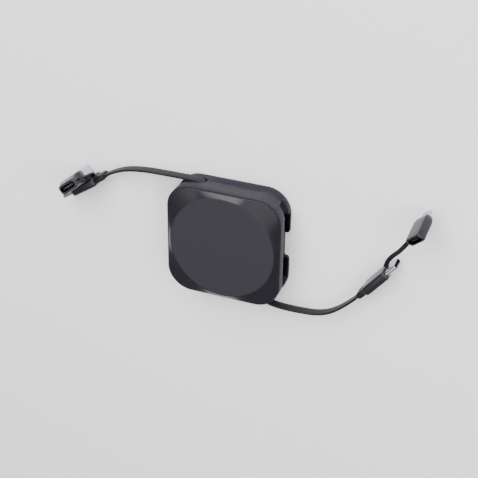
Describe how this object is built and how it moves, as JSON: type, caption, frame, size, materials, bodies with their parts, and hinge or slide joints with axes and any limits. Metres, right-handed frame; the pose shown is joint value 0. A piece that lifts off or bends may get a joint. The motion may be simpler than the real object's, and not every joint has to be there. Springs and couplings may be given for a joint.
{
  "type": "retractable charging cable",
  "caption": "Square dark case with a sprung reel that winds in two flat cords; each ends in a USB-C plug with a tethered adapter, and a pocket in each side stores a plug.",
  "frame": {"origin": "Middle of the case's rear face, on the surface it lies on.", "axes": "+X to the right and +Y up as the front disc is looked at, +Z out of the front disc and up from the surface."},
  "size_m": [0.1946, 0.0715, 0.0243],
  "materials": {
    "case_plastic": "satin",
    "grip_plastic": "satin",
    "reel_plastic": "moulded",
    "strap_rubber": "matt",
    "cord_jacket": "satin",
    "black_insulator": "moulded",
    "screw_steel": "zinc plated",
    "spring_steel": "blued",
    "ball_steel": "polished",
    "plug_metal": "nickel plated",
    "gold_contact": "gold plated"
  },
  "bodies": {
    "case": {"rear_shell": "case_plastic", "front_shell": "case_plastic", "front_plate": "case_plastic", "case_screws": "screw_steel", "left_cord": "cord_jacket", "left_relief": "strap_rubber", "left_grip": "grip_plastic", "left_plug_shell": "plug_metal", "left_plug_insert": "black_insulator", "left_plug_contacts": "gold_contact", "left_tether": "strap_rubber", "left_adapter": "grip_plastic", "left_socket_shell": "plug_metal", "left_socket_tongue": "black_insulator", "usb_a_shell": "plug_metal", "usb_a_tongue": "black_insulator", "usb_a_contacts": "gold_contact", "right_cord": "cord_jacket", "right_relief": "strap_rubber", "right_grip": "grip_plastic", "right_plug_shell": "plug_metal", "right_plug_insert": "black_insulator", "right_plug_contacts": "gold_contact", "right_tether": "strap_rubber", "right_adapter": "grip_plastic", "right_socket_shell": "plug_metal", "right_socket_tongue": "black_insulator", "blade": "plug_metal", "blade_contacts": "gold_contact"},
    "reel": {"reel_drum": "reel_plastic", "reel_flange": "reel_plastic", "flange_screws": "screw_steel", "spring_cover": "reel_plastic", "power_spring": "spring_steel", "cord_coil": "cord_jacket"},
    "ball": {"catch_ball": "ball_steel"}
  },
  "joints": [
    {"name": "reel_spin", "type": "hinge", "parent": "case", "child": "reel", "pos_m": [0, 0, 0.0077], "axis": [0, 0, 1], "range_deg": [-90, 1500], "deforming": ["power_spring"]},
    {"name": "catch_slide", "type": "slide", "parent": "case", "child": "ball", "axis": [1, 0, 0], "range_m": [-0.0011, 0.0011]}
  ]
}
